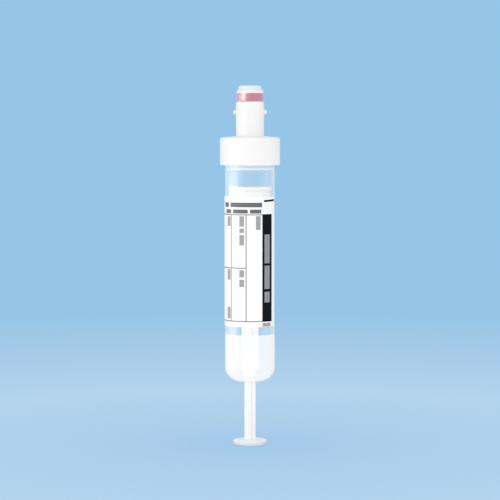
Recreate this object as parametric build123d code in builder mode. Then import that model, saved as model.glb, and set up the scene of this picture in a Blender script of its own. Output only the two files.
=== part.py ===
from build123d import *
import os

# Syringe-type blood collection tube, standing on its thumb disc.
# Millimetres. The tube's axis is Z, and Z = 0 is the underside of the thumb disc.
# The front of the label faces -Y, and the neck's two lugs point along X.

# Thumb disc and plunger rod
disc_radius = 5.05
disc_thickness = 1.4
disc_edge_round = 0.3
exposed_rod = 17.8
slim_rod_width = 3.35
wide_rod_width = 5.1
fin_thickness = 0.8
slim_rod_inside = 3.0
rod_shoulder = 1.2
fin_end_chamfer = 0.6
break_neck_radius = 0.7
break_neck_length = 0.5
stub_radius = 1.7
head_radius = 2.6
head_thickness = 1.8
head_chamfer = 0.5
rod_clearance = 0.10

# Tube
tube_radius = 7.5
tube_wall = 1.05
tube_length = 71.9
base_thickness = 1.05
base_rim = 0.35
mouth_depth = 9.6
mouth_relief = 0.10
mouth_taper = 0.3
rim_chamfer = 0.2
stop_bead_rise = 0.15
stop_bead_width = 0.6
stop_bead_drop = 0.75

# Screw thread, one start, right-handed
thread_lead = 3.0
thread_depth = 0.5
thread_foot_width = 1.3
thread_crest_width = 0.6
thread_clearance = 0.12
tube_thread_turns = 1.4
cap_thread_turns = 1.1
thread_top_margin = 1.3
thread_root_overlap = 0.15

# Screw cap with its neck
cap_wall = 0.88
cap_height = 8.25
cap_roof = 1.3
cap_roof_rise = 0.4
cap_top_round = 0.6
cap_skirt_round = 0.25
cap_seat_gap = 0.10
plug_length = 3.0
plug_wall = 1.0
plug_lead_in = 0.3
plug_clearance = 0.05
neck_radius = 4.2
neck_height = 10.8
neck_wall = 1.2
neck_top_round = 0.5
lug_radius = 0.65
lug_reach = 0.75
lug_drop = 3.2
lug_round = 0.35
lug_root_depth = 0.4

# Membrane and the ring that holds it
ring_height = 4.7
ring_skirt_height = 2.4
ring_side_height = 2.7
ring_skirt_wall = 0.45
ring_shoulder = 0.15
ring_foot_chamfer = 0.25
ring_cone_inset = 0.25
ring_cone_drop = 1.5
ring_top_inset = 0.75
ring_top_side = 0.9
ring_top_draft = 0.15
ring_top_round = 0.5
needle_port_radius = 2.0
membrane_clearance = 0.05
membrane_stem = 2.2
membrane_well_radius = 1.3
membrane_web = 1.6
membrane_dome_side = 0.5
membrane_dome_rise = 0.6

# Piston
piston_depth = 13.2
piston_length = 10.7
piston_clearance = 0.05
top_lip_height = 1.1
bottom_lip_height = 1.2
lip_groove_height = 0.5
lip_groove_depth = 0.45
piston_waist = 0.2
piston_edge = 0.2
piston_roof = 1.8
piston_skirt_wall = 1.2
socket_wall = 1.2
socket_lip = 1.0
socket_recess = 2.4

# Paper label
label_offset = 16.9
label_height = 38.8
label_paper = 0.14
label_glue = 0.03
label_wrap = 300.0
label_right_end = 68.0

# Heights and radii that follow from the sizes above
tube_bottom = disc_thickness + exposed_rod
bore_bottom = tube_bottom + base_thickness
tube_top = tube_bottom + tube_length
bore_radius = tube_radius - tube_wall
mouth_radius = bore_radius + mouth_relief
hole_radius = wide_rod_width / 2 + rod_clearance
base_corner_radius = tube_radius - hole_radius - base_rim
bore_corner_radius = base_corner_radius - tube_wall

cap_ceiling = tube_top + cap_seat_gap
cap_rim = cap_ceiling + cap_roof
cap_bottom = cap_rim - cap_height
neck_top = cap_rim + neck_height
neck_bore_radius = neck_radius - neck_wall
plug_radius = mouth_radius - plug_clearance
ring_top = neck_top + ring_height

thread_crest_radius = tube_radius + thread_depth
skirt_bore_radius = thread_crest_radius + thread_clearance
cap_radius = skirt_bore_radius + cap_wall
cap_thread_crest_radius = tube_radius + thread_clearance
tube_thread_top = tube_top - thread_top_margin
tube_thread_start = tube_thread_top - tube_thread_turns * thread_lead
cap_thread_start = tube_thread_start + thread_lead / 2

piston_radius = bore_radius - piston_clearance
piston_top = tube_top - piston_depth
piston_bottom = piston_top - piston_length

socket_radius = head_radius + rod_clearance
socket_mouth_radius = stub_radius + rod_clearance
socket_bottom = piston_bottom + socket_recess
head_bottom = socket_bottom + socket_lip + rod_clearance
head_top = head_bottom + head_thickness
break_neck_top = piston_bottom
fins_top = break_neck_top - break_neck_length
shoulder_bottom = tube_bottom + slim_rod_inside


def corner(radius, height):
    """The sketch's vertex nearest to a radius and a height."""
    return vertices().sort_by_distance((radius, height, 0))[0]


def thread_ridge(foot_radius, crest_radius, start_height, turns):
    """One helical ridge of trapezoidal section, added to the part being built.

    It rises from the wall at foot_radius to crest_radius, which is further out
    on the tube and further in on the cap.
    """
    rise = crest_radius - foot_radius
    root = thread_root_overlap if rise < 0 else -thread_root_overlap
    with BuildLine() as path:
        Helix(
            pitch=thread_lead,
            height=thread_lead * turns,
            radius=foot_radius,
            center=(0, 0, start_height),
        )
    start = Plane(origin=path.line @ 0, x_dir=(1, 0, 0), z_dir=path.line % 0)
    with BuildSketch(start) as section:
        with BuildLine():
            Polyline(
                (root, -thread_foot_width / 2),
                (0, -thread_foot_width / 2),
                (rise, -thread_crest_width / 2),
                (rise, thread_crest_width / 2),
                (0, thread_foot_width / 2),
                (root, thread_foot_width / 2),
                close=True,
            )
        make_face()
    sweep(sections=section.sketch, path=path.line, is_frenet=True)


# Tube: a clear barrel with a rounded base, open at the top
with BuildPart() as tube:
    with BuildSketch(Plane.XZ):
        with BuildLine():
            Polyline(
                (hole_radius, tube_bottom),
                (tube_radius, tube_bottom),
                (tube_radius, tube_top),
                (mouth_radius, tube_top),
                (mouth_radius, tube_top - mouth_depth),
                (bore_radius, tube_top - mouth_depth - mouth_taper),
                (bore_radius, bore_bottom),
                (hole_radius, bore_bottom),
                close=True,
            )
        make_face()
        fillet(corner(tube_radius, tube_bottom), base_corner_radius)
        fillet(corner(bore_radius, bore_bottom), bore_corner_radius)
        chamfer(corner(tube_radius, tube_top), rim_chamfer)
    revolve(axis=Axis.Z)
    # the low bead just under the cap
    with BuildSketch(Plane.XZ):
        with Locations((tube_radius, cap_bottom - stop_bead_drop - stop_bead_width / 2)):
            Ellipse(stop_bead_rise, stop_bead_width / 2)
    revolve(axis=Axis.Z)
    thread_ridge(tube_radius, thread_crest_radius, tube_thread_start, tube_thread_turns)
tube.part.label = "tube"

# Label: one wrap of paper, open at the right so that the fill level shows
label_start = -90 + label_right_end - label_wrap
label_edge = Vector(1, 0, 0).rotate(Axis.Z, label_start)
label_normal = Vector(0, -1, 0).rotate(Axis.Z, label_start)
label_radius = tube_radius + label_glue
with BuildPart() as label:
    with BuildSketch(Plane(origin=(0, 0, 0), x_dir=label_edge, z_dir=label_normal)):
        with Locations((label_radius + label_paper / 2, tube_bottom + label_offset + label_height / 2)):
            Rectangle(label_paper, label_height)
    revolve(axis=Axis.Z, revolution_arc=label_wrap)
label.part.label = "label"

# Screw cap: threaded skirt, sealing plug, and the slim neck with its two lugs
with BuildPart() as screw_cap:
    with BuildSketch(Plane.XZ):
        with BuildLine():
            Polyline(
                (skirt_bore_radius, cap_bottom),
                (cap_radius, cap_bottom),
                (cap_radius, cap_rim),
                (neck_radius, cap_rim + cap_roof_rise),
                (neck_radius, neck_top),
                (neck_bore_radius, neck_top),
                (neck_bore_radius, cap_ceiling),
                (plug_radius - plug_wall, cap_ceiling),
                (plug_radius - plug_wall, cap_ceiling - plug_length),
                (plug_radius, cap_ceiling - plug_length),
                (plug_radius, cap_ceiling),
                (skirt_bore_radius, cap_ceiling),
                close=True,
            )
        make_face()
        fillet(corner(cap_radius, cap_rim), cap_top_round)
        fillet(corner(cap_radius, cap_bottom), cap_skirt_round)
        chamfer(corner(plug_radius, cap_ceiling - plug_length), plug_lead_in)
        fillet(corner(neck_radius, neck_top), neck_top_round)
    revolve(axis=Axis.Z)
    # one round-ended lug, then its mirror image
    with BuildSketch(Plane.YZ.offset(neck_radius - lug_root_depth)):
        with Locations((0, neck_top - lug_drop)):
            Circle(lug_radius)
    lug = extrude(amount=lug_root_depth + lug_reach)
    lug_end = lug.faces().sort_by(Axis.X)[-1]
    fillet(edges().filter_by(GeomType.CIRCLE).sort_by_distance(lug_end.center())[0], lug_round)
    split(bisect_by=Plane.YZ, keep=Keep.TOP)
    mirror(about=Plane.YZ)
    thread_ridge(skirt_bore_radius, cap_thread_crest_radius, cap_thread_start, cap_thread_turns)
screw_cap.part.label = "screw_cap"

# Retaining ring: a translucent collar over the membrane, open for the needle
ring_skirt_top = neck_top + ring_skirt_height
ring_side_top = neck_top + ring_side_height
ring_skirt_bore = neck_radius - ring_skirt_wall
ring_top_radius = neck_radius - ring_top_inset - ring_top_draft
with BuildPart() as retaining_ring:
    with BuildSketch(Plane.XZ):
        with BuildLine():
            Polyline(
                (ring_skirt_bore, neck_top),
                (neck_radius, neck_top),
                (neck_radius, ring_side_top),
                (neck_radius - ring_shoulder, ring_side_top + ring_shoulder),
                (neck_radius - ring_cone_inset, ring_top - ring_cone_drop),
                (neck_radius - ring_top_inset, ring_top - ring_top_side),
                (ring_top_radius, ring_top),
                (needle_port_radius, ring_top),
                (needle_port_radius, ring_skirt_top),
                (ring_skirt_bore, ring_skirt_top),
                close=True,
            )
        make_face()
        fillet(corner(ring_top_radius, ring_top), ring_top_round)
        chamfer(corner(neck_radius, neck_top), ring_foot_chamfer)
    revolve(axis=Axis.Z)
retaining_ring.part.label = "retaining_ring"

# Membrane: a rubber plug with a flange under the ring and a dome in its opening
membrane_bottom = neck_top - membrane_stem
membrane_flange_top = ring_skirt_top - membrane_clearance
membrane_flange_radius = ring_skirt_bore - membrane_clearance
membrane_stem_radius = neck_bore_radius - membrane_clearance
membrane_dome_radius = needle_port_radius - membrane_clearance
dome_shoulder = membrane_flange_top + membrane_dome_side
membrane_sphere_radius = (membrane_dome_radius**2 + membrane_dome_rise**2) / (2 * membrane_dome_rise)
with BuildPart() as membrane:
    with BuildSketch(Plane.XZ):
        with BuildLine():
            Polyline(
                (0, membrane_flange_top - membrane_web),
                (membrane_well_radius, membrane_flange_top - membrane_web),
                (membrane_well_radius, membrane_bottom),
                (membrane_stem_radius, membrane_bottom),
                (membrane_stem_radius, neck_top + membrane_clearance),
                (membrane_flange_radius, neck_top + membrane_clearance),
                (membrane_flange_radius, membrane_flange_top),
                (membrane_dome_radius, membrane_flange_top),
                (membrane_dome_radius, dome_shoulder),
            )
            RadiusArc(
                (membrane_dome_radius, dome_shoulder),
                (0, dome_shoulder + membrane_dome_rise),
                -membrane_sphere_radius,
            )
            Line(
                (0, dome_shoulder + membrane_dome_rise),
                (0, membrane_flange_top - membrane_web),
            )
        make_face()
    revolve(axis=Axis.Z)
membrane.part.label = "membrane"

# Piston: two sealing lips, a rounded foot that nests in the tube's base, and a socket below
piston_foot = piston_bottom + bore_corner_radius
bottom_lip_top = piston_foot + bottom_lip_height
groove_top = piston_top - top_lip_height
groove_bottom = groove_top - lip_groove_height
waist_radius = piston_radius - piston_waist
socket_top = head_top + rod_clearance
with BuildPart() as piston:
    with BuildSketch(Plane.XZ):
        with BuildLine():
            Polyline(
                (0, piston_top),
                (piston_radius, piston_top),
                (piston_radius, groove_top),
                (piston_radius - lip_groove_depth, groove_top),
                (piston_radius - lip_groove_depth, groove_bottom),
                (waist_radius, groove_bottom),
                (waist_radius, bottom_lip_top + piston_waist),
                (piston_radius, bottom_lip_top),
                (piston_radius, piston_bottom),
                (0, piston_bottom),
                close=True,
            )
        make_face()
        fillet(corner(piston_radius, piston_bottom), bore_corner_radius)
        chamfer(corner(piston_radius, piston_top), piston_edge)
    revolve(axis=Axis.Z)
    # the hollow between the skirt and the socket wall
    with BuildSketch(Plane.XY.offset(piston_bottom)):
        Circle(piston_radius - piston_skirt_wall)
        Circle(socket_radius + socket_wall, mode=Mode.SUBTRACT)
    extrude(amount=piston_length - piston_roof, mode=Mode.SUBTRACT)
    # the socket: an open recess, a snap lip and the room for the rod's head
    with BuildSketch(Plane.XY.offset(piston_bottom)):
        Circle(socket_radius)
    extrude(amount=socket_recess, mode=Mode.SUBTRACT)
    with BuildSketch(Plane.XY.offset(socket_bottom)):
        Circle(socket_mouth_radius)
    extrude(amount=socket_lip, mode=Mode.SUBTRACT)
    with BuildSketch(Plane.XY.offset(socket_bottom + socket_lip)):
        Circle(socket_radius)
    extrude(amount=socket_top - socket_bottom - socket_lip, mode=Mode.SUBTRACT)
piston.part.label = "piston"

# Plunger rod: thumb disc, crossed fins, break-off neck and snap head, moulded in one
with BuildPart() as plunger_rod:
    with BuildSketch(Plane.XY):
        Circle(disc_radius)
    extrude(amount=disc_thickness)
    fillet(edges().filter_by(GeomType.CIRCLE), disc_edge_round)
    for fin_plane in (Plane.XZ, Plane.YZ):
        with BuildSketch(fin_plane):
            with BuildLine() as fin_side:
                Polyline(
                    (0, disc_thickness),
                    (slim_rod_width / 2, disc_thickness),
                    (slim_rod_width / 2, shoulder_bottom),
                    (wide_rod_width / 2, shoulder_bottom + rod_shoulder),
                    (wide_rod_width / 2, fins_top - fin_end_chamfer),
                    (wide_rod_width / 2 - fin_end_chamfer, fins_top),
                    (0, fins_top),
                )
                mirror(about=Plane.YZ)
            make_face()
        extrude(amount=fin_thickness / 2, both=True)
    with BuildSketch(Plane.XY.offset(fins_top)):
        Circle(break_neck_radius)
    extrude(amount=break_neck_length)
    with BuildSketch(Plane.XY.offset(break_neck_top)):
        Circle(stub_radius)
    extrude(amount=head_bottom - break_neck_top)
    with BuildSketch(Plane.XY.offset(head_bottom)):
        Circle(head_radius)
    extrude(amount=head_thickness)
    chamfer(edges().group_by(Axis.Z)[-1], head_chamfer)
plunger_rod.part.label = "plunger_rod"

os.makedirs("parts", exist_ok=True)
export_step(tube.part, "parts/tube.step")
export_step(label.part, "parts/label.step")
export_step(screw_cap.part, "parts/screw_cap.step")
export_step(retaining_ring.part, "parts/retaining_ring.step")
export_step(membrane.part, "parts/membrane.step")
export_step(piston.part, "parts/piston.step")
export_step(plunger_rod.part, "parts/plunger_rod.step")
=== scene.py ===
import math

import bmesh
import bpy
import numpy as np
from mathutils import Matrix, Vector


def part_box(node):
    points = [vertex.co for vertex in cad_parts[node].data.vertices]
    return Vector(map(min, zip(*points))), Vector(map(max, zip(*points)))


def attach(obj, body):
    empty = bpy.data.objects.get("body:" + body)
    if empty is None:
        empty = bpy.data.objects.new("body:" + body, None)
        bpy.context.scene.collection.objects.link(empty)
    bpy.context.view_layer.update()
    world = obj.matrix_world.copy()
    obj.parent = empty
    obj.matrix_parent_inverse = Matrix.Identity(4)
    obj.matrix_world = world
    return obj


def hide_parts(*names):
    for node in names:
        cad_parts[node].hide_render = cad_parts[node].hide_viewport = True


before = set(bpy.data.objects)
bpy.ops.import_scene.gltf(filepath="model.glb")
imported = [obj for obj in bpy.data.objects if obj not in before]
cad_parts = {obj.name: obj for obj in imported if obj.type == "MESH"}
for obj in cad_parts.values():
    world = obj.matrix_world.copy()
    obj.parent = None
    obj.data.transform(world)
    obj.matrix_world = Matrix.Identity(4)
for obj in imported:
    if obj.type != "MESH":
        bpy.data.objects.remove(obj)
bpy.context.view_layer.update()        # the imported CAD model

# Looks of a syringe-type blood collection tube. It stands on its thumb disc, and its axis is Z.
# Heights come from the CAD nodes' boxes, and the rest from each piece's own settings.
# Angles round the axis are counted from the front, -Y, towards +X.

mm = 0.001
low = {name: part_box(name)[0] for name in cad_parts}
high = {name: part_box(name)[1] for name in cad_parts}
neckRadius = high["retaining_ring"].x
tubeBottom = low["tube"].z
tubeTop = high["tube"].z
capBottom = low["screw_cap"].z
neckTop = high["screw_cap"].z

# the two roundings that most corners have
crisp = 0.1 * mm
eased = 0.2 * mm


def roundedLine(corners, closed, steps=7):
    # Each corner is a radius, a height and a rounding. The corner becomes a circular arc of so
    # many steps that touches both its sides: with a and b the arc's first and last spokes and w
    # the angle between them, spoke k is (sin((1 - k) w) a + sin(k w) b) / sin w.
    points = np.array([c[:2] for c in corners], float)
    rounding = np.array([c[2] if len(c) > 2 else 0.0 for c in corners], float)
    before, after = np.roll(points, 1, 0), np.roll(points, -1, 0)
    line = []
    for i, (p, size) in enumerate(zip(points, rounding)):
        atEnd = not closed and i in (0, len(points) - 1)
        if size <= 0 or atEnd:
            line.append(p[None])
            continue
        u = (before[i] - p) / np.linalg.norm(before[i] - p)
        v = (after[i] - p) / np.linalg.norm(after[i] - p)
        half = math.acos(np.clip(u @ v, -1, 1)) / 2
        centre = p + (u + v) / np.linalg.norm(u + v) * size / math.sin(half)
        a = p + u * size / math.tan(half) - centre
        b = p + v * size / math.tan(half) - centre
        w = math.pi - 2 * half
        k = np.linspace(0, 1, steps)[:, None]
        line.append(centre + (np.sin((1 - k) * w) * a + np.sin(k * w) * b) / math.sin(w))
    return flatRuns(np.concatenate(line), closed)


def flatRuns(line, closed):
    # Every run longer than three times edge gets a point at edge from each of its ends, so that
    # smooth shading stays in the corners: the points are p + u edge and q - u edge.
    edge = 0.08 * mm
    ends = np.roll(line, -1, 0)
    if not closed:
        ends[-1] = line[-1]
    run = ends - line
    length = np.linalg.norm(run, axis=1)
    u = run / np.maximum(length, 1e-12)[:, None]
    three = np.stack([line, line + u * edge, ends - u * edge], 1)
    keep = np.stack([length >= 0, length > 3 * edge, length > 3 * edge], 1)
    return three[keep]


def gridFaces(rows, columns, closeRows, closeColumns):
    # Quad (i, j) joins grid points (i, j), (i + 1, j), (i + 1, j + 1) and (i, j + 1).
    i = np.arange(rows if closeRows else rows - 1)[:, None]
    j = np.arange(columns if closeColumns else columns - 1)[None, :]
    nextI, nextJ = (i + 1) % rows, (j + 1) % columns
    corners = [i * columns + j, nextI * columns + j, nextI * columns + nextJ, i * columns + nextJ]
    return np.stack([c + 0 * (i + j) for c in corners], -1).reshape(-1, 4)


def makePiece(name, grids, closeRows, closeColumns, sharp=32):
    # Every grid is an array of points over two parameters, its rows and its columns, and all of
    # them go into one mesh. Closed rows or columns join their last to their first. Points that
    # coincide at a pole are merged, all faces are turned outwards, and edges that bend by more
    # than sharp, in degrees, are shaded sharp.
    points, faces, start = [], [], 0
    for grid in grids:
        rows, columns = grid.shape[:2]
        points.append(grid.reshape(-1, 3))
        faces.append(gridFaces(rows, columns, closeRows, closeColumns) + start)
        start += rows * columns
    mesh = bpy.data.meshes.new(name)
    mesh.from_pydata(np.concatenate(points).tolist(), [], np.concatenate(faces).tolist())
    work = bmesh.new()
    work.from_mesh(mesh)
    bmesh.ops.remove_doubles(work, verts=work.verts, dist=1e-7)
    bmesh.ops.recalc_face_normals(work, faces=work.faces)
    work.to_mesh(mesh)
    work.free()
    mesh.shade_smooth()
    mesh.set_sharp_from_angle(angle=math.radians(sharp))
    piece = bpy.data.objects.new(name, mesh)
    bpy.context.scene.collection.objects.link(piece)
    return piece


def spin(name, line, closed, rows=192):
    # A surface of revolution: point (t, s) is (r(s) cos t, r(s) sin t, z(s)).
    t = np.linspace(0, 2 * math.pi, rows, endpoint=False)[:, None]
    r, z = line[:, 0][None], line[:, 1][None]
    grid = np.stack([r * np.cos(t), r * np.sin(t), z + 0 * t], -1)
    return makePiece(name, [grid], True, closed)


def closeEnds(grid):
    # The first and the last section of a carried profile shrink to their middle point.
    first, last = grid[:1], grid[-1:]
    return np.concatenate([
        first.mean(1, keepdims=True) + 0 * first,
        grid,
        last.mean(1, keepdims=True) + 0 * last,
    ])


def helixRidge(name, foot, crest, start, lead, turns, footWidth, crestWidth, sunk):
    # A thread ridge: its section is a trapezoid with h(s) from 0 at the foot to 1 at the crest,
    # carried along a helix that rises by the lead in a turn. Point (t, s) stands at the angle t
    # and at the radius foot + (crest - foot) h(s) f(t), where f fades the ridge in and out over
    # an eighth of a turn. Its width fades with the square root of f, and neither gets to nothing.
    t = np.linspace(0, 2 * math.pi * turns, int(96 * turns))[:, None]
    f = np.clip(np.minimum(t, t[-1] - t) / (math.pi / 4), 0, 1)
    f = f * f * (3 - 2 * f)
    h = np.array([-sunk, 0, 0.85, 1, 1, 0.85, 0, -sunk])[None]
    aside = np.array([-1, -1, -0.55, -0.4, 0.4, 0.55, 1, 1])[None]
    width = np.where(h > 0, crestWidth, footWidth / 2)
    r = foot + (crest - foot) * h * (0.02 + 0.98 * f)
    z = start + lead * t / (2 * math.pi) + aside * width * (0.05 + 0.95 * np.sqrt(f))
    grid = np.stack([r * np.cos(t), r * np.sin(t), z], -1)
    return makePiece(name, [closeEnds(grid)], False, True)


def threadStart(b):
    # the height at which the tube's thread begins, so that it ends the margin below the rim
    return tubeTop - b["threadMargin"] - b["threadTurns"] * b["threadLead"]


def band(angles, inner, outer, bottom, top, slope=0.0):
    # A thin curved plate round the axis. Its section is a rectangle from inner to outer radius
    # and from bottom to top. It is carried along an arc, with a section every 2 degrees, and
    # slope raises it by so much along the arc. Point (t, s) is (r(s) sin t, -r(s) cos t, z(s)).
    t = np.linspace(angles[0], angles[1], max(2, int(abs(angles[1] - angles[0]) / 2.0) + 2))
    rise = slope * (t - t[0]) / (t[-1] - t[0])
    t = np.radians(t)[:, None]
    r = np.array([inner, outer, outer, inner])[None]
    z = np.array([bottom, bottom, top, top])[None] + rise[:, None]
    return closeEnds(np.stack([r * np.sin(t), -r * np.cos(t), z + 0 * t], -1))


def startMaterial(name):
    material = bpy.data.materials.new(name)
    material.use_nodes = True
    tree = material.node_tree
    tree.nodes.clear()
    output = tree.nodes.new("ShaderNodeOutputMaterial")
    place = tree.nodes.new("ShaderNodeTexCoord")
    return material, tree, output, place.outputs["Object"]


def nodeOf(tree, kind, sockets):
    # one shader node, with the numbers and colours that are the same all over the surface
    node = tree.nodes.new("ShaderNode" + kind)
    for name, value in sockets.items():
        node.inputs[name].default_value = value
    return node


def noiseOf(tree, place, scale, detail, stretch=(1, 1, 1)):
    mapping = nodeOf(tree, "Mapping", {"Scale": stretch})
    noise = nodeOf(tree, "TexNoise", {"Scale": scale, "Detail": detail})
    tree.links.new(place, mapping.inputs["Vector"])
    tree.links.new(mapping.outputs["Vector"], noise.inputs["Vector"])
    return noise.outputs["Fac"]


def heightOf(tree, place):
    parts = tree.nodes.new("ShaderNodeSeparateXYZ")
    tree.links.new(place, parts.inputs["Vector"])
    return parts.outputs["Z"]


def lengthOf(tree, vector):
    node = tree.nodes.new("ShaderNodeVectorMath")
    node.operation = "LENGTH"
    tree.links.new(vector, node.inputs[0])
    return node.outputs["Value"]


def rangeOf(tree, value, fromLow, fromHigh, toLow, toHigh, smooth=False):
    node = tree.nodes.new("ShaderNodeMapRange")
    node.interpolation_type = "SMOOTHSTEP" if smooth else "LINEAR"
    for socket, number in zip(node.inputs[1:5], (fromLow, fromHigh, toLow, toHigh)):
        socket.default_value = number
    tree.links.new(value, node.inputs["Value"])
    return node.outputs["Result"]


def spreadOf(tree, noise, least, most):
    # a noise lies mostly between 0.3 and 0.7, and this spreads it from least to most
    return rangeOf(tree, noise, 0.3, 0.7, least, most)


def mathOf(tree, operation, first, second):
    node = tree.nodes.new("ShaderNodeMath")
    node.operation = operation
    for socket, value in zip(node.inputs, (first, second)):
        if isinstance(value, float):
            socket.default_value = value
        else:
            tree.links.new(value, socket)
    return node.outputs["Value"]


def bumpOf(tree, height, strength, distance):
    bump = nodeOf(tree, "Bump", {"Strength": strength, "Distance": distance})
    tree.links.new(height, bump.inputs["Height"])
    return bump.outputs["Normal"]


def blendColours(tree, amount, first, second):
    mix = tree.nodes.new("ShaderNodeMix")
    mix.data_type = "RGBA"
    mix.inputs["A"].default_value = (*first, 1)
    mix.inputs["B"].default_value = (*second, 1)
    tree.links.new(amount, mix.inputs["Factor"])
    return mix.outputs["Result"]


def mixOf(tree, amount, first, second):
    mix = tree.nodes.new("ShaderNodeMixShader")
    tree.links.new(amount, mix.inputs["Fac"])
    tree.links.new(first, mix.inputs[1])
    tree.links.new(second, mix.inputs[2])
    return mix.outputs["Shader"]


def wallShares(tree, place, middle, mirror, footRadius=0.0, footHeight=-1.0):
    # For a clear wall round the axis: how steeply it is seen, 0 head on and 1 edge on; its outer
    # side, 1 where a ray comes in further out than the wall's middle and 0 elsewhere; and the
    # share that its outer side mirrors, m + (1 - m) s^5. With f and h the centre of the wall's
    # rounded foot, a point at the radius r is sqrt(max(r - f, 0)^2 + max(h - z, 0)^2) out.
    steep = nodeOf(tree, "LayerWeight", {"Blend": 0.5}).outputs["Facing"]
    geometry = tree.nodes.new("ShaderNodeNewGeometry")
    flat = tree.nodes.new("ShaderNodeVectorMath")
    flat.operation = "MULTIPLY"
    flat.inputs[1].default_value = (1, 1, 0)
    tree.links.new(place, flat.inputs[0])
    across = mathOf(tree, "SUBTRACT", lengthOf(tree, flat.outputs["Vector"]), footRadius)
    below = rangeOf(tree, heightOf(tree, place), footHeight - 1.0, footHeight, 1.0, 0.0)
    reach = tree.nodes.new("ShaderNodeCombineXYZ")
    tree.links.new(mathOf(tree, "MAXIMUM", across, 0.0), reach.inputs["X"])
    tree.links.new(below, reach.inputs["Y"])
    out = lengthOf(tree, reach.outputs["Vector"])
    outer = mathOf(tree, "GREATER_THAN", out, middle - footRadius)
    outside = mathOf(tree, "SUBTRACT", outer, geometry.outputs["Backfacing"])
    outside = mathOf(tree, "MAXIMUM", outside, 0.0)
    mirrored = mathOf(tree, "MULTIPLY", mathOf(tree, "POWER", steep, 5.0), 1.0 - mirror)
    mirrored = mathOf(tree, "MULTIPLY", mathOf(tree, "ADD", mirrored, mirror), outside)
    return steep, outside, mirrored


def plasticMaterial(name, look):
    # Moulded plastic: a faint cloudy tone, a fine satin grain and a little light inside it.
    material, tree, output, place = startMaterial(name)
    links = tree.links
    shader = nodeOf(tree, "BsdfPrincipled", {
        "Specular IOR Level": look["gloss"],
        "Subsurface Weight": look["inner"],
        "Subsurface Radius": look["innerReach"],
        "Subsurface Scale": 1.0,
    })
    cloud = noiseOf(tree, place, look["cloudScale"], 2.0)
    grain = noiseOf(tree, place, look["grainScale"], 4.0)
    colour = blendColours(tree, cloud, look["colour"], look["tone"])
    links.new(colour, shader.inputs["Base Color"])
    links.new(spreadOf(tree, grain, *look["roughness"]), shader.inputs["Roughness"])
    links.new(bumpOf(tree, grain, *look["bump"]), shader.inputs["Normal"])
    links.new(shader.outputs["BSDF"], output.inputs["Surface"])
    return material


whitePlastic = {
    "colour": (0.895, 0.892, 0.888),
    "tone": (0.88, 0.877, 0.873),
    "cloudScale": 220.0,
    "grainScale": 5200.0,
    "roughness": (0.42, 0.52),
    "gloss": 0.22,
    "bump": (0.2, 0.02 * mm),
    "inner": 0.25,
    "innerReach": (0.9 * mm, 0.9 * mm, 1.0 * mm),
}
creamPlastic = whitePlastic | {
    "colour": (0.90, 0.895, 0.885),
    "tone": (0.88, 0.875, 0.865),
    "roughness": (0.36, 0.46),
    "inner": 0.4,
}
rodPlastic = whitePlastic | {
    "colour": (0.93, 0.93, 0.93),
    "tone": (0.91, 0.91, 0.915),
    "roughness": (0.5, 0.6),
    "gloss": 0.08,
    "bump": (0.05, 0.02 * mm),
    "inner": 0.0,
}
redRubber = whitePlastic | {
    "colour": (0.58, 0.05, 0.095),
    "tone": (0.52, 0.044, 0.085),
    "roughness": (0.55, 0.7),
    "bump": (0.5, 0.02 * mm),
    "inner": 0.1,
}


barrel = {
    "radius": 7.5 * mm,
    "wall": 1.05 * mm,
    "rodHole": 2.65 * mm,
    "baseFlat": 3.0 * mm,
    "baseWall": 1.05 * mm,
    "rimRound": 0.25 * mm,
    "mouthDepth": 9.6 * mm,
    "mouthRelief": 0.10 * mm,
    "mouthTaper": 0.3 * mm,
    "beadRise": 0.15 * mm,
    "beadWidth": 0.6 * mm,
    "beadDrop": 0.75 * mm,
    "threadDepth": 0.5 * mm,
    "threadLead": 3.0 * mm,
    "threadTurns": 1.4,
    "threadFoot": 1.3 * mm,
    "threadCrest": 0.6 * mm,
    "threadMargin": 1.3 * mm,
    "threadSunk": 0.2,    # how far its foot goes into the wall, as a share of its depth
    # how the clear wall looks: the haze is the share of milk in it, and the pairs named From
    # say between which steepnesses, 0 head on and 1 edge on, each kind of it sets in
    "cloudScale": 160.0,
    "milk": (0.91, 0.95, 0.985),
    "milkRoughness": (0.28, 0.36),
    "mirror": 0.042,
    "mirrorRoughness": (0.28, 0.34),
    "haze": 0.15,
    "hazeAside": 0.31,
    "asideFrom": (0.05, 0.24),
    "hazeEdgeOn": 0.52,
    "edgeOnFrom": (0.38, 0.8),
    "hazeAtBead": 0.85,
    "beadFade": (0.15 * mm, 0.6 * mm),
    "hazeAtThread": 0.5,
    "threadFade": 0.4 * mm,
    # how its frosted lower end looks
    "frost": (0.975, 0.98, 0.985),
    "grainScale": 3500.0,
    "frostRoughness": (0.34, 0.46),
    "frostBump": (0.2, 0.02 * mm),
    "frostInner": 0.15,
    "frostInnerReach": (1.0 * mm, 1.0 * mm, 1.1 * mm),
    "frostHeight": 14.4 * mm,
    "frostEdge": 0.5 * mm,
    "frostShare": 0.74,
    "frostEdgeOn": 0.97,
    "frostFrom": (0.15, 0.6),
}


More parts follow.
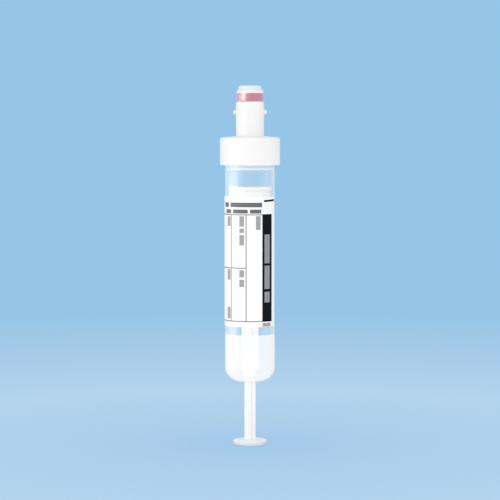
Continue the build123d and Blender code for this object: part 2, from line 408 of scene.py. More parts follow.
def barrelMaterial(name, b):
    # Clear polypropylene: see-through with a slight haze on its outer side, which grows where
    # the wall is seen aside and again edge on, at the bead, and above it at the thread. Below
    # one height the mould is matt and the wall is frosted, most of all where it is edge on.
    material, tree, output, place = startMaterial(name)
    links = tree.links
    height = heightOf(tree, place)
    grain = noiseOf(tree, place, b["grainScale"], 4.0)
    cloud = noiseOf(tree, place, b["cloudScale"], 2.0, (1, 1, 0.25))
    middle = b["radius"] - b["wall"] / 2
    foot = (b["baseFlat"], tubeBottom + b["radius"] - b["baseFlat"])
    steep, outside, mirrored = wallShares(tree, place, middle, b["mirror"], *foot)

    seeThrough = nodeOf(tree, "BsdfTransparent", {"Color": (1, 1, 1, 1)})
    milk = nodeOf(tree, "BsdfPrincipled", {"Base Color": (*b["milk"], 1)})
    links.new(spreadOf(tree, cloud, *b["milkRoughness"]), milk.inputs["Roughness"])
    aside = rangeOf(tree, steep, *b["asideFrom"], b["haze"], b["hazeAside"])
    edgeOn = rangeOf(tree, steep, *b["edgeOnFrom"], 0.0, b["hazeEdgeOn"])
    haze = mathOf(tree, "ADD", aside, edgeOn)
    beadMiddle = capBottom - b["beadDrop"] - b["beadWidth"] / 2
    fromBead = mathOf(tree, "ABSOLUTE", mathOf(tree, "SUBTRACT", height, beadMiddle), 0.0)
    atBead = rangeOf(tree, fromBead, *b["beadFade"], b["hazeAtBead"], 0.0, True)
    threadFoot = capBottom - b["threadFade"]
    atThread = rangeOf(tree, height, beadMiddle, threadFoot, 0.0, b["hazeAtThread"], True)
    haze = mathOf(tree, "MAXIMUM", mathOf(tree, "MAXIMUM", haze, atBead), atThread)
    haze = mathOf(tree, "MULTIPLY", haze, outside)
    clear = mixOf(tree, haze, seeThrough.outputs["BSDF"], milk.outputs["BSDF"])
    gloss = nodeOf(tree, "BsdfGlossy", {"Color": (1, 1, 1, 1)})
    links.new(spreadOf(tree, cloud, *b["mirrorRoughness"]), gloss.inputs["Roughness"])
    clear = mixOf(tree, mirrored, clear, gloss.outputs["BSDF"])

    frost = nodeOf(tree, "BsdfPrincipled", {
        "Base Color": (*b["frost"], 1),
        "Subsurface Weight": b["frostInner"],
        "Subsurface Radius": b["frostInnerReach"],
        "Subsurface Scale": 1.0,
    })
    links.new(spreadOf(tree, grain, *b["frostRoughness"]), frost.inputs["Roughness"])
    links.new(bumpOf(tree, grain, *b["frostBump"]), frost.inputs["Normal"])
    top, edge = tubeBottom + b["frostHeight"], b["frostEdge"] / 2
    frosted = rangeOf(tree, height, top - edge, top + edge, 1.0, 0.0, True)
    dense = rangeOf(tree, steep, *b["frostFrom"], b["frostShare"], b["frostEdgeOn"])
    frosted = mathOf(tree, "MULTIPLY", mathOf(tree, "MULTIPLY", frosted, dense), outside)
    links.new(mixOf(tree, frosted, clear, frost.outputs["BSDF"]), output.inputs["Surface"])
    return material


def buildBarrel(b):
    # The wall's section runs from the rod's hole round the outside, over the bead and the rim,
    # down the mouth and the bore and back to the hole. It is spun round the axis.
    radius = b["radius"]
    bore = radius - b["wall"]
    mouth = bore + b["mouthRelief"]
    cornerRound = radius - b["baseFlat"]
    beadTop = capBottom - b["beadDrop"]
    beadMiddle = beadTop - b["beadWidth"] / 2
    mouthFloor = tubeTop - b["mouthDepth"]
    inside = tubeBottom + b["baseWall"]
    line = roundedLine([
        (b["rodHole"], tubeBottom, crisp),
        (radius, tubeBottom, cornerRound),
        (radius, beadTop - b["beadWidth"], crisp),
        (radius + b["beadRise"], beadMiddle, eased),
        (radius, beadTop, crisp),
        (radius, tubeTop, b["rimRound"]),
        (mouth, tubeTop, b["rimRound"]),
        (mouth, mouthFloor, crisp),
        (bore, mouthFloor - b["mouthTaper"], crisp),
        (bore, inside, cornerRound - b["wall"]),
        (b["rodHole"], inside, crisp),
    ], True, 14)
    shell = spin("tubeBarrel", line, True)
    ridge = helixRidge(
        "tubeThread", radius, radius + b["threadDepth"], threadStart(b), b["threadLead"],
        b["threadTurns"], b["threadFoot"], b["threadCrest"], b["threadSunk"],
    )
    finish = barrelMaterial("clearBarrel", b)
    for piece in (shell, ridge):
        piece.data.materials.append(finish)
        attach(piece, "barrel")
    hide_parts("tube")
    print("barrel made")


buildBarrel(barrel)


cap = {
    "wall": 0.88 * mm,
    "threadClearance": 0.12 * mm,
    "roof": 1.3 * mm,
    "roofRise": 0.4 * mm,
    "seatGap": 0.10 * mm,
    "plugLength": 3.0 * mm,
    "plugWall": 1.0 * mm,
    "plugClearance": 0.05 * mm,
    "neckWall": 1.2 * mm,
    "threadTurns": 1.1,
    "topRound": 0.65 * mm,
    "skirtRound": 0.3 * mm,
    "neckRound": 0.3 * mm,
    "neckTopRound": 0.5 * mm,
    "lugDrop": 3.2 * mm,
    "lugRadius": 0.65 * mm,
    "lugRootRadius": 0.7475 * mm,
    "lugReach": 0.75 * mm,
    "lugRoot": 0.4 * mm,
    "lugRound": 0.42 * mm,
}


def buildCap(c, b):
    # The cap's section runs up the skirt's outside, in over the roof, up the neck and down its
    # bore, round the plug that seals the tube's mouth and back to the skirt.
    outer = high["screw_cap"].x
    skirtBore = outer - c["wall"]
    ceiling = tubeTop + c["seatGap"]
    rim = ceiling + c["roof"]
    plug = b["radius"] - b["wall"] + b["mouthRelief"] - c["plugClearance"]
    neckBore = neckRadius - c["neckWall"]
    line = roundedLine([
        (skirtBore, capBottom, eased),
        (outer, capBottom, c["skirtRound"]),
        (outer, rim, c["topRound"]),
        (neckRadius, rim + c["roofRise"], c["neckRound"]),
        (neckRadius, neckTop, c["neckTopRound"]),
        (neckBore, neckTop, crisp),
        (neckBore, ceiling, eased),
        (plug - c["plugWall"], ceiling, eased),
        (plug - c["plugWall"], ceiling - c["plugLength"], eased),
        (plug, ceiling - c["plugLength"], 0.3 * mm),
        (plug, ceiling, 0.15 * mm),
        (skirtBore, ceiling, eased),
    ], True)
    shell = spin("capShell", line, True)
    crest = b["radius"] + c["threadClearance"]
    start = threadStart(b) + b["threadLead"] / 2    # midway between the tube's turns
    ridge = helixRidge(
        "capThread", skirtBore, crest, start, b["threadLead"],
        c["threadTurns"], b["threadFoot"], b["threadCrest"], b["threadSunk"],
    )
    # Both lugs: a round pin along X with a rounded end. Point (t, s) is (x(s), r(s) cos t,
    # z + r(s) sin t), and the second lug is its mirror image.
    tip = neckRadius + c["lugReach"]
    side = roundedLine([
        (0.0, tip),
        (c["lugRadius"], tip, c["lugRound"]),
        (c["lugRadius"], neckRadius + 0.15 * mm, 0.15 * mm),
        (c["lugRootRadius"], neckRadius - c["lugRoot"]),
        (0.0, neckRadius - c["lugRoot"]),
    ], False)
    t = np.linspace(0, 2 * math.pi, 48, endpoint=False)[:, None]
    r, x = side[:, 0][None], side[:, 1][None]
    z = neckTop - c["lugDrop"]
    lug = np.stack([x + 0 * t, r * np.cos(t), z + r * np.sin(t)], -1)
    lugs = makePiece("capLugs", [lug, lug * np.array([-1, 1, 1])], True, False)
    finish = plasticMaterial("whiteCapPlastic", whitePlastic)
    for piece in (shell, ridge, lugs):
        piece.data.materials.append(finish)
        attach(piece, "cap")
    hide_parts("screw_cap")
    print("cap made")


buildCap(cap, barrel)


collar = {
    "skirtHeight": 2.4 * mm,
    "skirtWall": 0.45 * mm,
    "sideHeight": 2.7 * mm,
    "footRound": 0.25 * mm,
    "shoulder": 0.15 * mm,
    "coneInset": 0.25 * mm,
    "coneDrop": 1.5 * mm,
    "topInset": 0.75 * mm,
    "topSide": 0.9 * mm,
    "topDraft": 0.15 * mm,
    "topRound": 0.5 * mm,
    "port": 2.0 * mm,
    "cloudScale": 400.0,
    "tint": (0.68, 0.31, 0.35),    # of the skirt, by the rubber in it
    "haze": 0.40,
    "hazeEdgeOn": 0.85,
    "edgeOnAt": 0.8,
    "mirror": 0.15,
    "mirrorRoughness": (0.28, 0.31),
    "roughness": 0.35,
    "milk": (0.80, 0.885, 0.915),
    # the top's foot is pinker and lighter: the rubber showing through, and a painted highlight
    # along the shoulder
    "milkAtFoot": (0.97, 0.87, 0.875),
    "footFade": (0.15 * mm, 1.1 * mm),    # over the skirt's top
    "roofShare": 0.93,
    "roofFade": (-0.1 * mm, 0.15 * mm),
}


def collarMaterial(name, c):
    # Translucent plastic: the thin skirt is clear enough to show the rubber in it, which tints
    # the wall more where it is seen edge on. The thick top is milky and nearly opaque, and pinker
    # and lighter at its foot: partly the rubber near it showing through, partly a painted highlight
    # along the shoulder.
    material, tree, output, place = startMaterial(name)
    links = tree.links
    cloud = noiseOf(tree, place, c["cloudScale"], 2.0)
    middle = neckRadius - c["skirtWall"] / 2
    steep, outside, mirrored = wallShares(tree, place, middle, c["mirror"])
    height = heightOf(tree, place)
    skirtTop = neckTop + c["skirtHeight"]

    seeThrough = nodeOf(tree, "BsdfTransparent", {"Color": (1, 1, 1, 1)})
    tinted = nodeOf(tree, "BsdfPrincipled", {
        "Base Color": (*c["tint"], 1),
        "Roughness": c["roughness"],
    })
    haze = rangeOf(tree, steep, 0.0, c["edgeOnAt"], c["haze"], c["hazeEdgeOn"])
    haze = mathOf(tree, "MULTIPLY", haze, outside)
    skirt = mixOf(tree, haze, seeThrough.outputs["BSDF"], tinted.outputs["BSDF"])
    gloss = nodeOf(tree, "BsdfGlossy", {"Color": (1, 1, 1, 1)})
    links.new(spreadOf(tree, cloud, *c["mirrorRoughness"]), gloss.inputs["Roughness"])
    skirt = mixOf(tree, mirrored, skirt, gloss.outputs["BSDF"])

    milk = nodeOf(tree, "BsdfPrincipled", {"Roughness": c["roughness"]})
    # pinker, lighter milk at the top's foot: partly the rubber's tint, partly a painted highlight
    # along the shoulder
    start, end = (skirtTop + h for h in c["footFade"])
    rubberTintAndHighlight = rangeOf(tree, height, start, end, 1.0, 0.0, True)
    links.new(blendColours(tree, rubberTintAndHighlight, c["milk"], c["milkAtFoot"]), milk.inputs["Base Color"])
    start, end = (skirtTop + h for h in c["roofFade"])
    roof = rangeOf(tree, height, start, end, 0.0, c["roofShare"], True)
    links.new(mixOf(tree, roof, skirt, milk.outputs["BSDF"]), output.inputs["Surface"])
    return material


def buildCollar(c):
    # The ring's section runs from its foot up the straight side, in over the shoulder and up
    # the cone to the rounded top, down through the needle's opening and back along the skirt.
    skirtTop = neckTop + c["skirtHeight"]
    sideTop = neckTop + c["sideHeight"]
    skirtBore = neckRadius - c["skirtWall"]
    top = high["retaining_ring"].z
    line = roundedLine([
        (skirtBore, neckTop, 0.05 * mm),
        (neckRadius, neckTop, c["footRound"]),
        (neckRadius, sideTop, 0.08 * mm),
        (neckRadius - c["shoulder"], sideTop + c["shoulder"], 0.12 * mm),
        (neckRadius - c["coneInset"], top - c["coneDrop"], 0.25 * mm),
        (neckRadius - c["topInset"], top - c["topSide"], 0.3 * mm),
        (neckRadius - c["topInset"] - c["topDraft"], top, c["topRound"]),
        (c["port"], top, 0.25 * mm),
        (c["port"], skirtTop, crisp),
        (skirtBore, skirtTop, crisp),
    ], True)
    ring = spin("retainingCollar", line, True)
    ring.data.materials.append(collarMaterial("translucentCollar", c))
    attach(ring, "cap")
    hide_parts("retaining_ring")
    print("collar made")


plug = {
    "gap": 0.05 * mm,
    "well": 1.3 * mm,
    "web": 1.6 * mm,
    "domeSide": 0.5 * mm,
    "domeFall": 0.08 * mm,
}


def buildMembrane(p, c, neckWall):
    # The plug's section runs from the middle of its web down round the well, up the stem, out
    # round the flange and over the dome in the ring's opening.
    bottom = low["membrane"].z
    crown = high["membrane"].z
    flange = neckTop + c["skirtHeight"] - p["gap"]
    stem = neckRadius - neckWall - p["gap"]
    edge = neckRadius - c["skirtWall"] - p["gap"]
    dome = c["port"] - p["gap"]
    line = roundedLine([
        (0.0, flange - p["web"]),
        (p["well"], flange - p["web"], 0.3 * mm),
        (p["well"], bottom, 0.15 * mm),
        (stem, bottom, eased),
        (stem, neckTop + p["gap"], crisp),
        (edge, neckTop + p["gap"], 0.15 * mm),
        (edge, flange, 0.15 * mm),
        (dome, flange, crisp),
        (dome, flange + p["domeSide"], 0.3 * mm),
        (dome / 2, crown - p["domeFall"], 0.5 * mm),
        (0.0, crown),
    ], False)
    rubber = spin("membranePlug", line, False)
    rubber.data.materials.append(plasticMaterial("redRubber", redRubber))
    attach(rubber, "membrane")
    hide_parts("membrane")
    print("membrane made")


buildCollar(collar)
buildMembrane(plug, collar, cap["neckWall"])


piston = {
    "topLip": 1.1 * mm,
    "bottomLip": 1.2 * mm,
    "groove": 0.5 * mm,
    "grooveDepth": 0.45 * mm,
    "waist": 0.2 * mm,
    "roof": 1.8 * mm,
    "skirtWall": 1.2 * mm,
    "socketWall": 1.2 * mm,
    "socket": 2.7 * mm,
    "socketMouth": 1.8 * mm,
    "socketLip": 1.0 * mm,
    "socketRecess": 2.4 * mm,
    "socketRoom": 2.0 * mm,
}


def buildPiston(p, b):
    # The piston's section runs from the middle of its top over the lips and the groove down to
    # the rounded foot, up the hollow from below, and in and up round the rod's socket.
    top, bottom, outer = high["piston"].z, low["piston"].z, high["piston"].x
    foot = b["radius"] - b["baseFlat"] - b["wall"]
    grooveTop = top - p["topLip"]
    grooveBottom = grooveTop - p["groove"]
    lipTop = bottom + foot + p["bottomLip"]
    skirt = outer - p["skirtWall"]
    boss = p["socket"] + p["socketWall"]
    # The rounded foot is a quarter circle with the radius foot, round (outer - foot, bottom +
    # foot). The hollow cuts it in two, the skirt's end and the boss's, at the angles a. The
    # straight outlines stop a hair short of it.
    skirtEnd = math.acos((skirt - outer + foot) / foot)
    bossStart = math.acos((boss - outer + foot) / foot)
    arc, tip = (
        np.stack([outer - foot + foot * np.cos(a), bottom + foot - foot * np.sin(a)], -1)
        for a in (np.linspace(0, skirtEnd, 12), np.linspace(bossStart, math.pi / 2, 5))
    )
    upper = roundedLine([
        (0.0, top),
        (outer, top, 0.3 * mm),
        (outer, grooveTop, 0.15 * mm),
        (outer - p["grooveDepth"], grooveTop, 0.05 * mm),
        (outer - p["grooveDepth"], grooveBottom, 0.05 * mm),
        (outer - p["waist"], grooveBottom, crisp),
        (outer - p["waist"], lipTop + p["waist"], crisp),
        (outer, lipTop, 0.15 * mm),
        (outer, bottom + foot + 0.01 * mm),
    ], False)
    hollow = roundedLine([
        (skirt, arc[-1, 1] + 0.02 * mm),
        (skirt, top - p["roof"], 0.3 * mm),
        (boss, top - p["roof"], 0.3 * mm),
        (boss, tip[0, 1] + 0.02 * mm),
    ], False)
    recess = bottom + p["socketRecess"]
    room = recess + p["socketLip"] + p["socketRoom"]
    socket = roundedLine([
        (p["socket"], bottom),
        (p["socket"], recess, crisp),
        (p["socketMouth"], recess, eased),
        (p["socketMouth"], recess + p["socketLip"], crisp),
        (p["socket"], recess + p["socketLip"], crisp),
        (p["socket"], room, eased),
        (0.0, room),
    ], False)
    body = spin("pistonBody", np.concatenate([upper, arc, hollow, tip, socket]), False)
    body.data.materials.append(plasticMaterial("creamPistonPlastic", creamPlastic))
    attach(body, "piston")
    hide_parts("piston")
    print("piston made")


buildPiston(piston, barrel)


rod = {
    "discThickness": 1.4 * mm,
    "discRound": 0.3 * mm,
    "fin": 0.8 * mm,
    "finEdge": 0.15 * mm,
    "finFillet": 0.25 * mm,
    "slim": 3.35 * mm,
    "wide": 5.1 * mm,
    "slimInside": 3.0 * mm,
    # the fins' flared foot: heights over the disc, and how far it stands out from the fins
    "foot": ((-0.05 * mm, 0.25 * mm), (0.08 * mm, 0.12 * mm), (0.3 * mm, 0.0)),
    "shoulder": 1.2 * mm,
    "endChamfer": 0.6 * mm,
    "breakRadius": 0.7 * mm,
    "breakLength": 0.5 * mm,
    "breakSunk": 0.05 * mm,
    "stub": 1.7 * mm,
    "headThickness": 1.8 * mm,
    "headChamfer": 0.5 * mm,
    "head": 2.6 * mm,
}


def finOutline(r):
    # One arm of the cross as (share of the reach, offset along the arm, offset across it),
    # with a fillet at each side of its root and a rounded tip. Both arcs are quarter circles.
    half, edge, fillet = r["fin"] / 2, r["finEdge"], r["finFillet"]
    k = np.linspace(0, math.pi / 2, 5)
    root = np.stack([0 * k, half + fillet * (1 - np.cos(k)), half + fillet * (1 - np.sin(k))], -1)
    tip = np.stack([0 * k + 1, edge * (np.sin(k) - 1), half - edge * (1 - np.cos(k))], -1)
    side = np.concatenate([root[:-1], tip])
    return np.concatenate([side * np.array([1, 1, -1]), side[::-1]])


def buildRod(r):
    outer = high["plunger_rod"].x
    discTop = r["discThickness"]
    finsTop = low["piston"].z - r["breakLength"]
    # the disc's and the head's sections run from the middle below to the middle above
    disc = spin("thumbDisc", roundedLine([
        (0.0, 0.0),
        (outer, 0.0, r["discRound"]),
        (outer, discTop, r["discRound"]),
        (0.0, discTop),
    ], False), False)
    # Point (z, s) of the fins is reach(z) times the arm's share plus the arm's offsets, turned by
    # a quarter for each arm. The reach grows at the shoulder and is cut back at the top.
    step = tubeBottom + r["slimInside"]
    slim, wide, cut = r["slim"] / 2, r["wide"] / 2, r["endChamfer"]
    stations = np.array([
        *((discTop + h, slim + out) for h, out in r["foot"]),
        (step, slim),
        (step + r["shoulder"], wide),
        (finsTop - cut, wide),
        (finsTop, wide - cut),
    ])
    arm = finOutline(r)
    reach = stations[:, 1][:, None]
    along = reach * arm[:, 0][None] + arm[:, 1][None]
    across = arm[:, 2][None] + 0 * reach
    z = stations[:, 0][:, None] + 0 * along
    quarters = []
    for turn in (0.0, 0.5, 1.0, 1.5):
        c, s = math.cos(turn * math.pi), math.sin(turn * math.pi)
        quarters.append(np.stack([c * along - s * across, s * along + c * across, z], -1))
    grid = np.concatenate(quarters, 1)
    ends = [grid[:1] * np.array([0, 0, 1]), grid, grid[-1:] * np.array([0, 0, 1])]
    fins = makePiece("rodFins", [np.concatenate(ends)], False, True, 30)
    headTop = high["plunger_rod"].z
    headBottom = headTop - r["headThickness"]
    neckFoot = finsTop - r["breakSunk"]
    head = spin("rodHead", roundedLine([
        (0.0, neckFoot),
        (r["breakRadius"], neckFoot, 0.02 * mm),
        (r["breakRadius"], low["piston"].z, crisp),
        (r["stub"], low["piston"].z, crisp),
        (r["stub"], headBottom, 0.15 * mm),
        (r["head"], headBottom, 0.15 * mm),
        (r["head"], headTop - r["headChamfer"], eased),
        (r["head"] - r["headChamfer"], headTop, eased),
        (0.0, headTop),
    ], False), False, 96)
    finish = plasticMaterial("rodPlastic", rodPlastic)
    for piece in (disc, fins, head):
        piece.data.materials.append(finish)
        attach(piece, "rod")
    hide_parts("plunger_rod")
    print("rod made")


buildRod(rod)


label = {
    "paper": 0.14 * mm,
    "wrap": 300.0,
    "rightEnd": 68.0,
    "inkFoot": 0.0012 * mm,    # over the paper
    "inkTop": 0.018 * mm,
    "inkOverInk": 0.012 * mm,
    "stripe": (28.6, 57.4),
    "line": 0.30 * mm,
    "thinLine": 0.32 * mm,
    "ruleStart": -130.0,
    "firstColumn": -46.5,
    "secondColumn": -8.7,
    "bottomRule": 1.7 * mm,
    "middleRule": 17.6 * mm,
    "topRule": 33.5 * mm,
    "fillMark": (33.0, 68.0),
    "fillHeight": 37.25 * mm,
    "fillRise": 0.2 * mm,
    "fillThickness": 0.6 * mm,
    "wordWidth": 1.5 * mm,
    "underStripe": (29.0, 53.0),
    "underDrop": (1.6 * mm, 0.5 * mm),
    # each row of the heading: its height and its size, in mm, and the angles of its bars
    "heading": (
        (33.9, 1.15, ((-66.0, -47.0), (-41.0, -5.0), (0.0, 26.0))),
        (35.75, 1.35, ((-72.0, -55.0), (-49.0, 28.0))),
    ),
    # each column of words: its angle, then each word's height and its run downwards, in mm
    "columns": (
        (-54.6, ((33.0, 2.9), (17.2, 3.2), (5.9, 3.5))),
        (-18.8, ((33.1, 3.1), (29.4, 1.3), (27.5, 3.1), (17.0, 2.1), (14.2, 2.2))),
        (18.8, ((33.1, 4.1),)),
    ),
    "stripeColumn": (42.0, ((27.6, 8.6), (18.3, 7.0), (10.5, 3.2))),
    "stripeWordWidth": 2.1 * mm,
    "paperColour": (0.955, 0.955, 0.95),
    "paperTone": (0.935, 0.935, 0.93),
    "paperRoughness": (0.42, 0.54),
    "paperGloss": 0.3,
    "paperBump": (0.15, 0.08 * mm),
    "fibreScale": 1400.0,
    "waveScale": 120.0,
}
inkMottle = 2200.0
# each ink: its colour and its uneven tone, its roughness and its gloss
inks = {
    "blackInk": ((0.006, 0.006, 0.007), (0.008, 0.008, 0.009), (0.5, 0.6), 0.08),
    "greyInk": ((0.34, 0.34, 0.35), (0.39, 0.39, 0.40), (0.45, 0.55), 0.3),
    "darkGreyInk": ((0.13, 0.13, 0.135), (0.16, 0.16, 0.165), (0.45, 0.55), 0.3),
    "ruleInk": ((0.22, 0.22, 0.23), (0.27, 0.27, 0.28), (0.45, 0.55), 0.3),
    "thinRuleInk": ((0.33, 0.29, 0.26), (0.38, 0.34, 0.31), (0.45, 0.55), 0.3),
    "reverseGrey": ((0.27, 0.27, 0.28), (0.31, 0.31, 0.32), (0.45, 0.55), 0.3),
}


def paperMaterial(name, n):
    # Satin label paper: white with a faint fibre tone and a shallow uneven surface.
    material, tree, output, place = startMaterial(name)
    links = tree.links
    shader = nodeOf(tree, "BsdfPrincipled", {"Specular IOR Level": n["paperGloss"]})
    fibre = noiseOf(tree, place, n["fibreScale"], 5.0, (1, 1, 0.4))
    wave = noiseOf(tree, place, n["waveScale"], 2.0)
    colour = blendColours(tree, fibre, n["paperColour"], n["paperTone"])
    links.new(colour, shader.inputs["Base Color"])
    links.new(spreadOf(tree, fibre, *n["paperRoughness"]), shader.inputs["Roughness"])
    links.new(bumpOf(tree, wave, *n["paperBump"]), shader.inputs["Normal"])
    links.new(shader.outputs["BSDF"], output.inputs["Surface"])
    return material


def inkMaterial(name, colour, tone, roughness, gloss):
    # Printed ink: slightly uneven colour and a thin gloss.
    material, tree, output, place = startMaterial(name)
    links = tree.links
    shader = nodeOf(tree, "BsdfPrincipled", {"Specular IOR Level": gloss})
    mottle = noiseOf(tree, place, inkMottle, 3.0)
    links.new(blendColours(tree, mottle, colour, tone), shader.inputs["Base Color"])
    links.new(spreadOf(tree, mottle, *roughness), shader.inputs["Roughness"])
    links.new(shader.outputs["BSDF"], output.inputs["Surface"])
    return material


def letLightIn(piece):
    # thin paper lets light into the tube, so what bounces in there passes it
    piece.visible_diffuse = False
    piece.visible_shadow = False


def printPiece(name, bands, finish):
    piece = makePiece(name, bands, False, True)
    piece.data.materials.append(finish)
    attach(piece, "barrel")
    letLightIn(piece)


def wordBars(column, width, bottom, inner, outer):
    # Words without letters, in a column that reads downwards: one plain bar for each, from its
    # height down its run, and width across, centred on the column's angle.
    angle, words = column
    half = math.degrees(width / outer) / 2
    spots = [(bottom + height * mm, run * mm) for height, run in words]
    return [band((angle - half, angle + half), inner, outer, z - run, z) for z, run in spots]


def buildLabel(n):
    # The paper, its rules and its bars are all bands round the tube, each with its own radii.
    outer = -low["label"].x
    inner = outer - n["paper"]
    bottom, top = low["label"].z, high["label"].z
    wrap = (n["rightEnd"] - n["wrap"], n["rightEnd"])
    paper = makePiece("labelPaper", [band(wrap, inner, outer, bottom, top)], False, True)
    paper.data.materials.append(paperMaterial("labelPaper", n))
    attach(paper, "barrel")
    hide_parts("label")
    letLightIn(paper)

    finish = {name: inkMaterial(name, *look) for name, look in inks.items()}
    ink = (outer + n["inkFoot"], outer + n["inkTop"])    # its inner and its outer radius
    lowLine, midLine, topLine = (bottom + n[key] for key in ("bottomRule", "middleRule", "topRule"))
    start, stripe, half = n["ruleStart"], n["stripe"], n["line"] / 2
    black = [band(stripe, *ink, lowLine - half, topLine + half)]
    printPiece("labelStripe", black, finish["blackInk"])

    across, thinAcross = (math.degrees(n[key] / 2 / outer) for key in ("line", "thinLine"))
    first, second = n["firstColumn"], n["secondColumn"]
    rules = [
        band((start, stripe[0]), *ink, lowLine - half, lowLine + half),
        band((start, second), *ink, midLine - half, midLine + half),
        band((start, stripe[0]), *ink, topLine - half, topLine + half),
        band((second - across, second + across), *ink, lowLine, topLine),
    ]
    printPiece("labelRules", rules, finish["ruleInk"])
    upright = (first - thinAcross, first + thinAcross)
    printPiece("thinRule", [band(upright, *ink, lowLine, topLine)], finish["thinRuleInk"])
    fill = bottom + n["fillHeight"]
    mark = band(n["fillMark"], *ink, fill, fill + n["fillThickness"], n["fillRise"])
    printPiece("fillMark", [mark], finish["blackInk"])

    heading = []
    for height, size, runs in n["heading"]:
        z = bottom + height * mm
        heading += [band(run, *ink, z, z + size * mm) for run in runs]
    printPiece("labelHeading", heading, finish["darkGreyInk"])
    words = []
    for column in n["columns"]:
        words += wordBars(column, n["wordWidth"], bottom, *ink)
    deep, shallow = n["underDrop"]
    words.append(band(n["underStripe"], *ink, lowLine - deep, lowLine - shallow))
    printPiece("labelWords", words, finish["greyInk"])
    overInk = (ink[0], ink[1] + n["inkOverInk"])
    reverse = wordBars(n["stripeColumn"], n["stripeWordWidth"], bottom, *overInk)
    printPiece("stripeWords", reverse, finish["reverseGrey"])
    print("label made")


buildLabel(label)


stage = {
    # the floor's colour by distance from the object, in metres: darker near the object as painted
    # shadow, lighter around 0.13 m as a painted pool of light, and the backdrop's blue further out
    "ringsWithPaintedLight": (
        (0.00, (0.375, 0.600, 0.840)),
        (0.05, (0.425, 0.635, 0.840)),
        (0.13, (0.468, 0.672, 0.860)),
        (0.23, (0.407, 0.617, 0.828)),
        (0.32, (0.361, 0.584, 0.800)),
        (0.45, (0.309, 0.558, 0.799)),
    ),
    # the share of it that takes the lamps' light, the light that it gives back far and near,
    # the near one darker and bluer as painted shade under the object, and the distances
    # between which both change
    "litShare": 0.30,
    "litFrom": (0.05, 0.45),
    "bounceInPaintedShade": (0.25, 0.38, 0.55),
    "bounceFar": (0.97, 0.97, 0.97),
    "paintedShadeFrom": (0.0055, 0.013),
    "fill": 0.86,
    "fillColour": (0.995, 0.997, 1.0),
    "floorRadius": 12.0,
}


def seenRays(tree):
    # 1 for what is seen directly, by reflection or through glass, and 0 for light that bounces.
    path = tree.nodes.new("ShaderNodeLightPath")
    either = mathOf(tree, "MAXIMUM", path.outputs["Is Camera Ray"], path.outputs["Is Glossy Ray"])
    return mathOf(tree, "MAXIMUM", either, path.outputs["Is Transmission Ray"])


def stageMaterial(name, s):
    # Pale blue paper. Where it is seen it shows mostly its own colour, which changes with the
    # distance from the object: darker near it as painted shadow and lighter further out as a
    # painted pool of light. A part of it is lit, so that it takes a shadow. What it gives back as
    # light is almost neutral, and darker and bluer near the object as painted shade.
    material, tree, output, place = startMaterial(name)
    links = tree.links
    away = lengthOf(tree, place)
    # painted shadow near the object and a painted pool of light further out, in the floor's own
    # colour
    ramp = tree.nodes.new("ShaderNodeValToRGB")
    spots = ramp.color_ramp.elements
    inner, *between, outer = s["ringsWithPaintedLight"]
    reach = outer[0]
    spots[0].color = (*inner[1], 1)
    spots[-1].color = (*outer[1], 1)
    for far, colour in between:
        spots.new(far / reach).color = (*colour, 1)
    links.new(rangeOf(tree, away, 0.0, reach, 0.0, 1.0), ramp.inputs["Fac"])
    own = tree.nodes.new("ShaderNodeEmission")
    links.new(ramp.outputs["Color"], own.inputs["Color"])
    lit = tree.nodes.new("ShaderNodeBsdfDiffuse")
    links.new(ramp.outputs["Color"], lit.inputs["Color"])
    ownShare = rangeOf(tree, away, *s["litFrom"], 1.0 - s["litShare"], 1.0, True)
    shown = mixOf(tree, ownShare, lit.outputs["BSDF"], own.outputs["Emission"])
    # painted shade: what the floor gives back as light is darker and bluer near the object
    bounce = tree.nodes.new("ShaderNodeEmission")
    outOfPaintedShade = rangeOf(tree, away, *s["paintedShadeFrom"], 0.0, 1.0, True)
    links.new(blendColours(tree, outOfPaintedShade, s["bounceInPaintedShade"], s["bounceFar"]), bounce.inputs["Color"])
    floor = mixOf(tree, seenRays(tree), bounce.outputs["Emission"], shown)
    links.new(floor, output.inputs["Surface"])
    return material


def buildStage(s):
    # The floor is a disc: point (t, k) is at the angle t and the radius R k^3, so that its
    # middle is finer. The world lights the object evenly, and shows the last ring's colour.
    t = np.linspace(0, 2 * math.pi, 96, endpoint=False)[:, None]
    k = np.linspace(0, 1, 24)[None] ** 3 * s["floorRadius"]
    grid = np.stack([k * np.cos(t), k * np.sin(t), 0 * k * t], -1)
    floor = makePiece("floor", [grid], True, False)
    if floor.data.polygons[0].normal.z < 0:
        floor.data.flip_normals()
    floor.data.materials.append(stageMaterial("paleBlueFloor", s))

    world = bpy.data.worlds.new("softRoom")
    bpy.context.scene.world = world
    world.use_nodes = True
    tree = world.node_tree
    tree.nodes.clear()
    output = tree.nodes.new("ShaderNodeOutputWorld")
    fill = nodeOf(tree, "Background", {"Color": (*s["fillColour"], 1), "Strength": s["fill"]})
    seen = nodeOf(tree, "Background", {"Color": (*s["ringsWithPaintedLight"][-1][1], 1)})
    room = mixOf(tree, seenRays(tree), fill.outputs["Background"], seen.outputs["Background"])
    tree.links.new(room, output.inputs["Surface"])


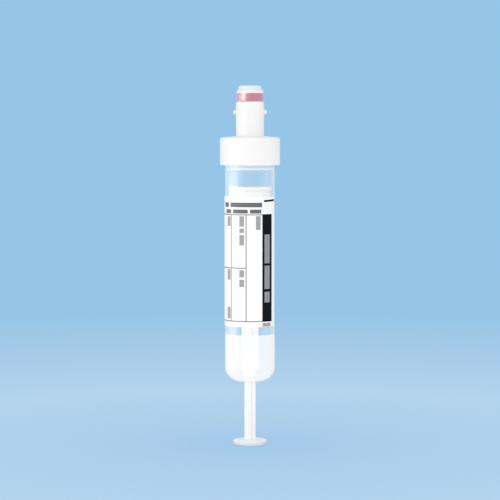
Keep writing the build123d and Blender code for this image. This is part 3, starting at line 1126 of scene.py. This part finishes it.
# Bearings are counted from the front towards +X, in degrees. A level is the lamp's brightness,
# where 1 is white. A mirrored lamp is seen only in gloss, and another one only lights.
lamps = {
    "keyFront": {
        "bearing": -12, "distance": 0.60, "height": 0.13, "size": (0.30, 0.24), "level": 3.0,
        "colour": (1, 1, 1), "mirrored": False,
    },
    "overhead": {
        "bearing": 0, "distance": 0.05, "height": 0.60, "size": (0.35, 0.35), "level": 0.5,
        "colour": (1, 1, 1), "mirrored": False,
    },
    "windowHigh": {
        "bearing": -52, "distance": 0.32, "height": 0.170, "size": (0.16, 0.15), "level": 7.6,
        "colour": (1, 1, 1), "mirrored": True,
    },
    "windowLow": {
        "bearing": -85, "distance": 0.32, "height": 0.02, "size": (0.30, 0.12), "level": 8.0,
        "colour": (1.0, 0.84, 0.70), "mirrored": True,
    },
}


def addLamp(name, s):
    # A rectangle that faces the object's middle. Its power is pi times its area and its level.
    width, tall = s["size"]
    data = bpy.data.lights.new(name, "AREA")
    data.shape = "RECTANGLE"
    data.size, data.size_y = width, tall
    data.color = s["colour"]
    data.energy = math.pi * width * tall * s["level"]
    lamp = bpy.data.objects.new(name, data)
    bpy.context.scene.collection.objects.link(lamp)
    angle, away, height = math.radians(s["bearing"]), s["distance"], s["height"]
    lamp.location = (away * math.sin(angle), -away * math.cos(angle), height)
    middle = high["screw_cap"].z / 2
    pitch = math.atan2(middle - height, away)
    lamp.rotation_euler = (math.pi / 2 + pitch, 0, angle)
    lamp.visible_camera = False
    lamp.visible_glossy = s["mirrored"]
    lamp.visible_diffuse = not s["mirrored"]


# the view is from the front and a little from above
camera = {
    "distance": 0.660,
    "height": 0.0977,
    "tiltDown": 3.38,
    "lens": 158.4,
}


def buildCamera(c):
    data = bpy.data.cameras.new("camera")
    data.lens = c["lens"]
    data.sensor_width = 36.0
    data.clip_start, data.clip_end = 0.01, 50.0
    eye = bpy.data.objects.new("camera", data)
    bpy.context.scene.collection.objects.link(eye)
    eye.location = (0, -c["distance"], c["height"])
    eye.rotation_euler = (math.radians(90 - c["tiltDown"]), 0, 0)
    bpy.context.scene.camera = eye


buildStage(stage)
for lampName, settings in lamps.items():
    addLamp(lampName, settings)
buildCamera(camera)
bpy.context.scene.view_settings.view_transform = "Standard"
print("stage, light and camera set")
